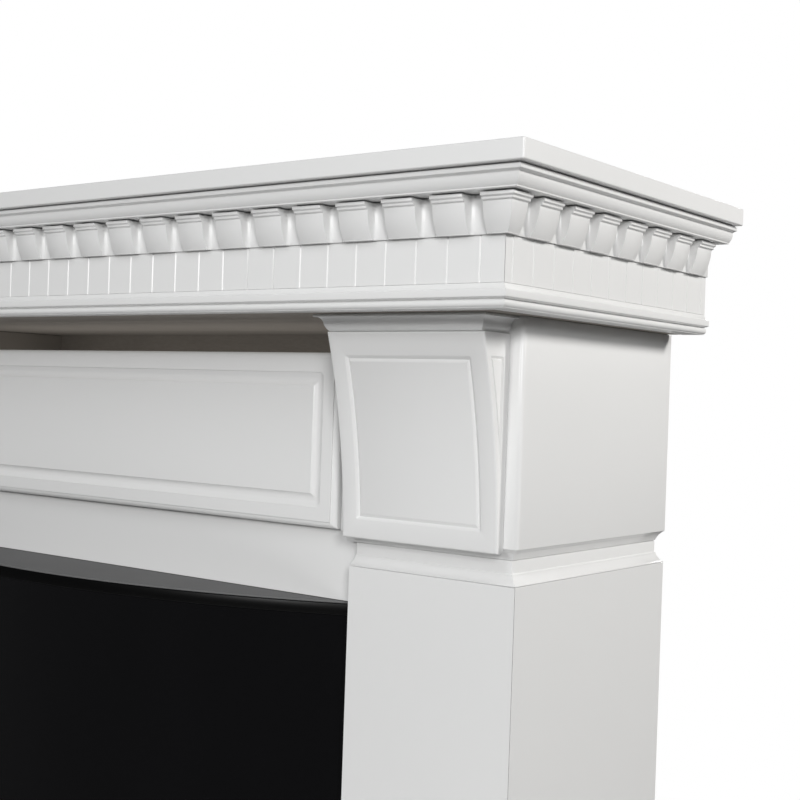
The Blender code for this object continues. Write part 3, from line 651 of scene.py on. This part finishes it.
class SURROUND_OT_boards(bpy.types.Operator):
    """Ease and paint every plain board"""

    bl_idname = "surround.boards"
    bl_label = "Plain boards"

    def execute(self, context):
        cornice = context.scene.surround_cornice
        leg = context.scene.surround_leg
        keep_node("mantel_shelf", "white_paint", cornice.ease, segments=3)
        for name in ("apron_board", "bottom_rail", "hearth_board"):
            keep_node(name, "white_paint", cornice.board_ease)
        # The soffit and back boards are dark raw board, whose tone paints the shade inside the
        # slot above the header
        for name in ("soffit_board", "back_board"):
            keep_node(name, "raw_board", cornice.board_ease / 4)
        for place, _ in ENDS:
            for board in ("shaft_front", "shaft_side", "plinth_front", "plinth_side"):
                keep_node(place + "_leg_" + board, "white_paint", leg.ease / 2)
            board = place + "_leg_inner_board"
            keep_node(board, "white_paint", cornice.board_ease)
            # Behind the fire's front the inner board turns dark raw, painting the shade seen
            # through the slot above the header
            behind_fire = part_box("fire_frame")[1].y
            NODES[board].material_slots[0].material = part_painted_and_shade(
                context.scene.surround_finish, behind_fire)
        for place in ("front", "left", "right"):
            keep_node("frieze_" + place, "white_paint", cornice.ease / 5, segments=1)
        return {"FINISHED"}


class SURROUND_OT_crown(bpy.types.Operator):
    """Make the crown moulding under the shelf"""

    bl_idname = "surround.crown"
    bl_label = "Crown moulding"

    def execute(self, context):
        sizes = context.scene.surround_cornice
        face, back, high = section_of("crown_front")
        rebate = face + sizes.crown_rebate_deep
        quirk = face + sizes.crown_quirk_deep
        fillet_foot = sizes.crown_rebate_high + sizes.crown_fillet_high
        quirk_foot = fillet_foot + sizes.crown_quirk_high
        belly_top = (quirk + sizes.crown_belly_step, quirk_foot + sizes.crown_belly_step)
        belly_foot = (sizes.crown_foot_inset, high - sizes.crown_foot_high)
        section = [
            (back, 0.0),
            (rebate, 0.0),
            (rebate, sizes.crown_rebate_high),
            (face, sizes.crown_rebate_high),
            (face, fillet_foot),
            (quirk, quirk_foot),
            *swell(belly_top, belly_foot, sizes.crown_belly_bulge),
            (sizes.crown_foot_inset, high),
            (back, high),
        ]
        cornice_runs("crown", soften(section, sizes.ease))
        return {"FINISHED"}


class SURROUND_OT_blocks(bpy.types.Operator):
    """Make the strip of shaped blocks, with rounded gaps between them"""

    bl_idname = "surround.blocks"
    bl_label = "Shaped blocks"

    def execute(self, context):
        sizes = context.scene.surround_cornice
        face, back, high = section_of("blocks_front")
        fillet = face + sizes.block_fillet_inset
        fillet_foot = sizes.block_fillet_top + sizes.block_fillet_high
        belly_top = (sizes.block_neck_inset, sizes.block_neck_high + sizes.block_belly_high)
        belly_foot = (sizes.block_foot_inset, high - sizes.block_foot_high)
        section = [
            (back, 0.0),
            (face, 0.0),
            (face, sizes.block_lip_high),
            (fillet, sizes.block_fillet_top),
            (fillet, fillet_foot),
            (sizes.block_neck_inset, sizes.block_neck_high),
            *swell(belly_top, belly_foot, sizes.block_belly_bulge, steps=14),
            (sizes.block_foot_inset, high),
            (back, high),
        ]
        strips = cornice_runs("blocks", soften(section, sizes.ease))
        web = back - sizes.block_web
        low, top = (corner.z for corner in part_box("blocks_front"))
        for side, strip in strips.items():
            gaps = (self.end_gaps(side, face, web, sizes) if side
                    else self.front_gaps(face, web, sizes))
            bm = bmesh.new()
            for outline in gaps:
                loft(bm, pulled_up(outline, low - CUT_PAST, top + CUT_PAST))
            cut_away(strip, [guide(bm, "gaps")])
            ease_piece(strip, sizes.ease, degrees=55)
        return {"FINISHED"}

    @staticmethod
    def gap_outline(start, finish, web, radius):
        """A gap in plan along a strip, open at the front and with a rounded back."""
        points = [(start, 0.0)]
        for centre, first in ((start + radius, math.pi), (finish - radius, math.pi / 2)):
            for bend in quarter(steps=6):
                points.append((centre + radius * math.cos(first - bend),
                               web - radius + radius * math.sin(first - bend)))
        points.append((finish, 0.0))
        return points

    def front_gaps(self, face, web, sizes):
        half = end(face)
        count = round((2 * half - sizes.block_wide) / sizes.block_pitch)
        pitch = (2 * half - sizes.block_wide) / count
        gaps = []
        for number in range(count):
            start = number * pitch + sizes.block_wide - half
            finish = (number + 1) * pitch - half
            outline = self.gap_outline(start, finish, web, sizes.block_hollow)
            gaps.append([(x, front(inset)) for x, inset in outline])
        return gaps

    def end_gaps(self, side, face, web, sizes):
        gaps = []
        start = face + sizes.end_corner_block
        while start < 2 * HALF_DEPTH:
            finish = start + sizes.block_pitch - sizes.block_wide
            if start + sizes.block_pitch > 2 * HALF_DEPTH:
                finish = 2 * HALF_DEPTH + 2 * sizes.block_hollow
            outline = self.gap_outline(start, finish, web, sizes.block_hollow)
            gaps.append([(side * end(inset), front(along)) for along, inset in outline])
            start += sizes.block_pitch
        return gaps


class SURROUND_OT_frieze_base(bpy.types.Operator):
    """Make the moulding at the foot of the frieze"""

    bl_idname = "surround.frieze_base"
    bl_label = "Frieze base"

    def execute(self, context):
        sizes = context.scene.surround_cornice
        face, back, high = section_of("frieze_base_front")
        frieze_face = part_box("frieze_front")[0].y + HALF_DEPTH
        lip_foot = sizes.base_cove_high + sizes.base_lip_high
        quirk = sizes.base_quirk_inset
        bead_top = (quirk, lip_foot + sizes.base_quirk_high)
        bead_foot = (quirk, high - sizes.base_bead_foot)
        section = [
            (back, -sizes.base_lift),
            *swell((frieze_face + sizes.ease, -sizes.base_lift), (face, sizes.base_cove_high),
                   -sizes.base_cove_hollow),
            (face, lip_foot),
            *swell(bead_top, bead_foot, sizes.base_bead_bulge, steps=12),
            (quirk, high),
            (back, high),
        ]
        cornice_runs("frieze_base", soften(section, sizes.ease))
        return {"FINISHED"}


class SURROUND_OT_casings(bpy.types.Operator):
    """Make the folded casing round each leg's upper block"""

    bl_idname = "surround.casings"
    bl_label = "Leg casings"

    def execute(self, context):
        sizes = context.scene.surround_leg
        for place, side in ENDS:
            node = place + "_leg_casing"
            low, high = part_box(node)
            inner, face = from_middle(node)
            board_low, board_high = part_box(place + "_leg_inner_board")
            thick = board_high.x - board_low.x
            tall = high.z - low.z
            cove = swell((0.0, tall - sizes.cove_high), (sizes.recess, tall), -sizes.cove_hollow)
            section = soften([(0.0, 0.0), *cove, (thick, tall), (thick, 0.0)], sizes.ease / 2,
                             steps=2)
            loops = [placed(section, side, high.z, inner, low.y, SQUARE)]
            for angle in quarter(steps=8):
                loops.append(self.corner(section, side, face, low.y, high.z, sizes, angle))
            loops.append(placed(section, side, high.z, face, HALF_DEPTH, TURNED))
            loft_piece(node, loops)
        return {"FINISHED"}

    @staticmethod
    def corner(section, side, face, plane, top, sizes, angle):
        """The section at one step round the folded corner."""
        points = []
        for depth, drop in section:
            radius = max(sizes.corner_radius - depth, 0.0)
            centre = max(sizes.corner_radius, depth)
            x = face - centre + radius * math.sin(angle)
            y = plane + centre - radius * math.cos(angle)
            points.append((side * x, y, top - drop))
        return points


class SURROUND_OT_necks(bpy.types.Operator):
    """Make the mitred neck band under each leg's upper block"""

    bl_idname = "surround.necks"
    bl_label = "Leg necks"

    def execute(self, context):
        sizes = context.scene.surround_leg
        for place, side in ENDS:
            name = place + "_leg_neck"
            low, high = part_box(name + "_front")
            inner = from_middle(name + "_front")[0]
            face = from_middle(name + "_side")[1]
            thick = high.y - low.y
            tall = high.z - low.z
            bead = sizes.neck_bead
            bead_foot = sizes.band_high + bead
            flare = swell((sizes.recess - bead, bead_foot), (0.0, tall - sizes.flare_lip),
                          -sizes.flare_hollow)
            section = [(thick, 0.0), (sizes.recess, 0.0), (sizes.recess, sizes.band_high),
                       *swell((sizes.recess - bead / 3, sizes.band_high),
                              (sizes.recess - bead, bead_foot), bead / 5, steps=4),
                       *flare[1:], (0.0, tall), (thick, tall)]
            section = soften(section, sizes.ease / 2, steps=2)
            top, plane, gap = high.z, low.y, MITRE_GAP / 2
            square = placed(section, side, top, inner, plane, SQUARE)
            mitre = placed(section, side, top, face - gap, plane, MITRED)
            corner = placed(section, side, top, face, plane + gap, MITRED)
            wall = placed(section, side, top, face, HALF_DEPTH, TURNED)
            loft_piece(name + "_front", (square, mitre))
            loft_piece(name + "_side", (corner, wall))
        return {"FINISHED"}


class SURROUND_OT_caps(bpy.types.Operator):
    """Make the moulded cap over each corbel"""

    bl_idname = "surround.caps"
    bl_label = "Corbel caps"

    def execute(self, context):
        sizes = context.scene.surround_leg
        for place, _ in ENDS:
            node = place + "_leg_corbel_cap"
            low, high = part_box(node)
            tall = high.z - low.z
            waist = (sizes.cap_waist_inset, sizes.cap_waist_high)
            section = [
                (0.0, 0.0),
                (0.0, sizes.cap_lip_high),
                *swell((sizes.cap_lip_step, sizes.cap_lip_high), waist, -sizes.cap_hollow),
                *swell(waist, (sizes.cap_foot_inset, tall), sizes.cap_bulge)[1:],
            ]
            loops = []
            for inset, drop in section:
                left, right, near = low.x + inset, high.x - inset, low.y + inset
                height = high.z - drop
                loops.append([(left, near, height), (right, near, height),
                              (right, high.y, height), (left, high.y, height)])
            ease_piece(loft_piece(node, loops), sizes.ease / 2)
        return {"FINISHED"}


class SURROUND_OT_corbels(bpy.types.Operator):
    """Make each corbel, with its hollow front, its panel and its sunk cheeks"""

    bl_idname = "surround.corbels"
    bl_label = "Corbels"

    def execute(self, context):
        leg = context.scene.surround_leg
        panel = context.scene.surround_panel
        for place, _ in ENDS:
            node = place + "_leg_corbel"
            low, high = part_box(node)
            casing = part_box(place + "_leg_casing")[0].y
            reach = self.reach_at(low, high, casing, leg)
            bm = bmesh.new()
            loops = [self.loop(low, high, casing, reach, *level)
                     for level in self.levels(leg, panel)]
            back = [(x, high.y, height) for x, _, height in loops[0]]
            rings = loft(bm, [back, *loops], close_end=False)
            self.close_field(bm, rings[-1])
            corbel = make_piece(bm, node + "_fine", "white_paint", node)
            cutters = [self.cheek(x, outward, low, high, casing, reach, panel)
                       for x, outward in ((low.x, -1), (high.x, 1))]
            cut_away(corbel, cutters)
        return {"FINISHED"}

    @staticmethod
    def reach_at(low, high, casing, leg):
        """How far the hollow front stands out from the leg, as a function of height."""
        tall = high.z - low.z
        rise = (casing - low.y) - leg.corbel_foot_reach
        chord = math.hypot(tall, rise)
        lean = math.atan2(rise, tall) - math.asin(chord / (2 * leg.corbel_arc))
        centre_reach = leg.corbel_foot_reach + leg.corbel_arc * math.cos(lean)
        centre_height = low.z - leg.corbel_arc * math.sin(lean)

        def reach(height):
            return centre_reach - math.sqrt(leg.corbel_arc ** 2 - (height - centre_height) ** 2)

        return reach

    @staticmethod
    def levels(leg, panel):
        """Loops from the side face over the rounded edge and border to the panel's field."""
        ease = leg.corbel_ease
        levels = []
        for angle in quarter(steps=5):
            inset = ease * (1 - math.cos(angle))
            levels.append(((inset, inset, inset), ease * EDGE_CORNER_SHARE,
                           ease * (1 - math.sin(angle))))
        border = Vector((panel.side_border, panel.top_border, panel.foot_border))
        deep = panel.bevel_deep
        bevel = panel.bevel_wide
        floor = bevel + panel.floor_wide
        step_in = floor + panel.step_wide
        soft = SOFT_LINE
        for grow, depth in ((-soft, 0.0), (soft, soft / 2), (bevel, deep), (floor, deep),
                            (step_in - soft, deep - panel.step_high + soft / 2),
                            (step_in + soft, deep - panel.step_high)):
            inset = border + Vector((grow, grow, grow))
            levels.append((tuple(inset), max(panel.round_corner - grow / 2, soft), depth))
        return levels

    @staticmethod
    def loop(low, high, casing, reach, insets, radius, depth):
        """One loop: up the right side and down the left, following the hollow front."""
        side_inset, top_inset, foot_inset = insets
        rows = 28
        left, right = low.x + side_inset, high.x - side_inset
        foot, top = low.z + foot_inset, high.z - top_inset
        corner = [(radius * (1 - math.sin(angle)), radius * (1 - math.cos(angle)))
                  for angle in quarter(steps=4)]
        right_side = [(back, foot + rise) for back, rise in corner]
        right_side += [(0.0, foot + radius + (top - foot - 2 * radius) * row / rows)
                       for row in range(1, rows)]
        right_side += [(back, top - rise) for back, rise in reversed(corner)]
        points = [(right - back, height) for back, height in right_side]
        points += [(left + back, height) for back, height in reversed(right_side)]
        return [(x, casing - reach(height) + depth, height) for x, height in points]

    @staticmethod
    def close_field(bm, ring):
        """Close the panel's field with one row of quads for each pair of side points."""
        half = len(ring) // 2
        for number in range(half - 1):
            bm.faces.new((ring[number], ring[-1 - number], ring[-2 - number], ring[number + 1]))

    @staticmethod
    def cheek(x_face, outward, low, high, casing, reach, panel):
        """The guide for the sunk panel in one side of a corbel."""
        steps = 20
        loops = []
        floor = panel.cheek_bevel + panel.cheek_step
        for border, depth in ((0.0, -CUT_PAST), (0.0, 0.0), (panel.cheek_bevel, panel.cheek_deep),
                              (floor, panel.cheek_deep - panel.cheek_rise)):
            top = high.z - panel.cheek_top - border
            back = panel.cheek_back + border
            before = panel.cheek_front + border
            bottom = low.z
            above = top
            for _ in range(HALVINGS):
                middle = (bottom + above) / 2
                if reach(middle) - before > back:
                    above = middle
                else:
                    bottom = middle
            points = [(top, back)]
            for step in range(steps):
                height = top + (bottom - top) * step / steps
                points.append((height, max(reach(height) - before, back)))
            points.append((bottom, back))
            x = x_face - outward * depth
            loops.append([(x, casing - stand, height) for height, stand in points])
        bm = bmesh.new()
        loft(bm, loops)
        return guide(bm, "cheek")


class SURROUND_OT_header(bpy.types.Operator):
    """Make the header's panel, with a moulded edge, a sunk line and a raised field"""

    bl_idname = "surround.header"
    bl_label = "Header panel"

    def execute(self, context):
        sizes = context.scene.surround_panel
        low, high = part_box("header_panel")
        frame_inset = sizes.edge_wide + sizes.frame_wide
        bevel = frame_inset + sizes.header_bevel_wide
        floor = bevel + sizes.header_floor
        step_in = floor + sizes.header_step
        field = sizes.header_bevel_deep - sizes.header_rise
        soft = SOFT_LINE
        corner = sizes.header_corner
        tiny = CRISP_CORNER
        levels = [(0.0, high.y - low.y, tiny)]
        edge = swell((0.0, sizes.edge_deep + sizes.edge_step), (sizes.edge_wide, sizes.edge_step),
                     -sizes.edge_bulge, steps=8)
        levels += [(inset, depth, tiny) for inset, depth in edge]
        levels += [(sizes.edge_wide, soft / 2, tiny), (sizes.edge_wide + soft / 2, 0.0, tiny)]
        levels += [
            (frame_inset - soft / 2, 0.0, corner),
            (frame_inset, sizes.header_quirk, corner),
            (bevel - soft, sizes.header_bevel_deep - soft / 2, corner / 2),
            (bevel + soft, sizes.header_bevel_deep, corner / 2),
        ]
        rise = swell((floor, sizes.header_bevel_deep), (step_in, field), sizes.header_hollow,
                     steps=8)
        levels += [(inset, depth, corner / 4) for inset, depth in rise]
        levels.append((step_in + soft, field, corner / 4))
        loft_piece("header_panel", [self.loop(low, high, inset, radius, low.y + depth)
                                    for inset, depth, radius in levels])
        return {"FINISHED"}

    @staticmethod
    def loop(low, high, inset, radius, y):
        """A rectangle with rounded corners, seen from the front."""
        left, right = low.x + inset + radius, high.x - inset - radius
        foot, top = low.z + inset + radius, high.z - inset - radius
        points = []
        for number, (x, z) in enumerate(((right, top), (left, top), (left, foot), (right, foot))):
            for bend in quarter(steps=6):
                angle = number * math.pi / 2 + bend
                points.append((x + radius * math.cos(angle), y, z + radius * math.sin(angle)))
        return points


class SURROUND_OT_fire(bpy.types.Operator):
    """Make the bowed frame, the glass and the plates of the electric fire"""

    bl_idname = "surround.fire"
    bl_label = "Electric fire"

    def execute(self, context):
        sizes = context.scene.surround_fire
        low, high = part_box("fire_frame")
        centre = low.y + sizes.bow_radius
        self.plates(sizes, centre)
        self.frame(sizes, low, high, centre)
        glass_low, glass_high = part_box("fire_glass")
        outline = self.sheet(glass_high.x, sizes.glass_setback, sizes.glass_thick, sizes, centre)
        loft_piece("fire_glass", pulled_up(outline, glass_low.z, glass_high.z), "black_glass")
        keep_node("fire_housing", "grey_metal", sizes.ease / 2)
        return {"FINISHED"}

    @staticmethod
    def bow(half, setback, sizes, centre, steps=64):
        """Points of the bowed front from left to right, this far behind its face."""
        radius = sizes.bow_radius - setback
        points = []
        for step in range(steps + 1):
            angle = math.asin(half / radius) * (2 * step / steps - 1)
            points.append((radius * math.sin(angle), centre - radius * math.cos(angle)))
        return points

    def sheet(self, half, setback, thick, sizes, centre):
        """Outline in plan of a bowed sheet, this far behind the bowed front."""
        return (self.bow(half, setback, sizes, centre)
                + self.bow(half, setback + thick, sizes, centre)[::-1])

    def plates(self, sizes, centre):
        for node in ("fire_top_plate", "fire_base_plate"):
            low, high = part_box(node)
            outline = self.bow(high.x, 0.0, sizes, centre)
            outline += [(high.x, high.y), (low.x, high.y)]
            plate = loft_piece(node, pulled_up(outline, low.z, high.z), "grey_metal")
            ease_piece(plate, sizes.ease)

    def frame(self, sizes, low, high, centre):
        """The bowed frame: a ring of bands and stiles round the glass."""
        inner_radius = math.hypot(high.x, centre - high.y)
        thick = sizes.bow_radius - inner_radius
        outline = self.sheet(high.x, 0.0, thick, sizes, centre)
        piece = loft_piece("fire_frame", pulled_up(outline, low.z, high.z), "black_metal")
        window = Vector((high.x - sizes.stile, low.z + sizes.band, high.z - sizes.band))
        bm = bmesh.new()
        bmesh.ops.create_cube(bm, size=1.0)
        near, far = low.y - CUT_PAST, high.y + CUT_PAST
        for vertex in bm.verts:
            vertex.co.x = math.copysign(window.x, vertex.co.x)
            vertex.co.y = far if vertex.co.y > 0 else near
            vertex.co.z = window.z if vertex.co.z > 0 else window.y
        cut_away(piece, [guide(bm, "window")])
        ease_piece(piece, sizes.ease)


class SURROUND_OT_stage(bpy.types.Operator):
    """Set the camera at the photographed angle, with a pale floor and soft studio light"""

    bl_idname = "surround.stage"
    bl_label = "Stage"

    def execute(self, context):
        settings = context.scene.surround_stage
        self.camera(settings)
        self.floor(settings)
        self.surroundings(settings)
        top = Vector((0.0, 0.0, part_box("mantel_shelf")[1].z))
        aim = top + Vector(LAMP_AIM)
        for name, power, place, size, tone in LAMPS:
            self.light(name, top + Vector(place), aim, size, getattr(settings, power), tone)
        inside = top + Vector(SLOT_LAMP)
        self.light("slot_glow", inside, inside + Vector((0.0, 0.0, 1.0)), SLOT_LAMP_WIDE,
                   settings.slot_power, WARM, SLOT_LAMP_DEEP)
        return {"FINISHED"}

    @staticmethod
    def camera(settings):
        data = bpy.data.cameras.new("photo_camera")
        data.sensor_width = SENSOR_WIDE
        data.lens = settings.lens
        camera = add_object("photo_camera", data)
        sin_az, cos_az = math.sin(settings.azimuth), math.cos(settings.azimuth)
        sin_p, cos_p = math.sin(settings.pitch), math.cos(settings.pitch)
        sight = Vector((-sin_az * cos_p, cos_az * cos_p, sin_p))
        right = Vector((cos_az, sin_az, 0.0))
        down = sight.cross(right)
        sin_r, cos_r = math.sin(settings.roll), math.cos(settings.roll)
        rolled_right = cos_r * right + sin_r * down
        rolled_down = cos_r * down - sin_r * right
        facing = Matrix((rolled_right, -rolled_down, -sight)).transposed().to_4x4()
        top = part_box("mantel_shelf")[1]
        place = Vector((top.x + settings.beside, -top.y - settings.before, top.z - settings.below))
        camera.matrix_world = Matrix.Translation(place) @ facing
        bpy.context.scene.camera = camera

    @staticmethod
    def floor(settings):
        bm = bmesh.new()
        bmesh.ops.create_circle(bm, cap_ends=True, segments=128, radius=settings.floor_radius)
        mesh = bpy.data.meshes.new("floor")
        bm.to_mesh(mesh)
        bm.free()
        finish = Finish("pale_floor", Roughness=0.6)
        cloud = finish.noise(scale=3.0)
        finish.vary("Base Color", finish.clouded(cloud, settings.floor_white, least=0.97))
        mesh.materials.append(finish.material)
        floor = add_object("floor", mesh)

    @staticmethod
    def surroundings(settings):
        """A white backdrop, with dimmer soft light from all round."""
        world = bpy.data.worlds.new("studio")
        bpy.context.scene.world = world
        world.use_nodes = True
        tree = world.node_tree
        ray = tree.nodes.new("ShaderNodeLightPath")
        mix = tree.nodes.new("ShaderNodeMixShader")
        tree.links.new(ray.outputs["Is Camera Ray"], mix.inputs[0])
        room = tree.nodes["Background"]
        backdrop = tree.nodes.new("ShaderNodeBackground")
        for shader, strength, place in ((room, settings.room_light, mix.inputs[1]),
                                        (backdrop, settings.backdrop, mix.inputs[2])):
            shader.inputs["Strength"].default_value = strength
            shader.inputs["Color"].default_value = (*WHITE, 1.0)
            tree.links.new(shader.outputs[0], place)
        tree.links.new(mix.outputs[0], tree.nodes["World Output"].inputs["Surface"])
        bpy.context.scene.view_settings.view_transform = "Standard"

    @staticmethod
    def light(name, place, aim, size, power, tone, tall=None):
        data = bpy.data.lights.new(name, "AREA")
        data.shape = "RECTANGLE"
        data.size = size
        data.size_y = tall or size
        data.energy = power
        data.color = tone
        lamp = add_object(name, data)
        lamp.location = place
        lamp.rotation_euler = (aim - place).to_track_quat("-Z", "Y").to_euler()


OPERATORS = (
    SURROUND_OT_boards,
    SURROUND_OT_crown,
    SURROUND_OT_blocks,
    SURROUND_OT_frieze_base,
    SURROUND_OT_casings,
    SURROUND_OT_necks,
    SURROUND_OT_caps,
    SURROUND_OT_corbels,
    SURROUND_OT_header,
    SURROUND_OT_fire,
    SURROUND_OT_stage,
)


class SURROUND_PT_pieces(bpy.types.Panel):
    """Buttons for every group of pieces and for the stage"""

    bl_idname = "SURROUND_PT_pieces"
    bl_label = "Fire surround"
    bl_space_type = "VIEW_3D"
    bl_region_type = "UI"
    bl_category = "Surround"

    def draw(self, context):
        for operator in OPERATORS:
            self.layout.operator(operator.bl_idname)


CLASSES = (*GROUPS.values(), *OPERATORS, SURROUND_PT_pieces)


def register():
    for item in CLASSES:
        bpy.utils.register_class(item)
    for name, group in GROUPS.items():
        setattr(bpy.types.Scene, name, PointerProperty(type=group))


def unregister():
    for name in GROUPS:
        delattr(bpy.types.Scene, name)
    for item in reversed(CLASSES):
        bpy.utils.unregister_class(item)


def main():
    register()
    for operator in OPERATORS:
        group, name = operator.bl_idname.split(".")
        result = getattr(getattr(bpy.ops, group), name)()
        if result != {"FINISHED"}:
            raise RuntimeError(operator.bl_label + " did not finish")


if __name__ == "__main__":
    main()
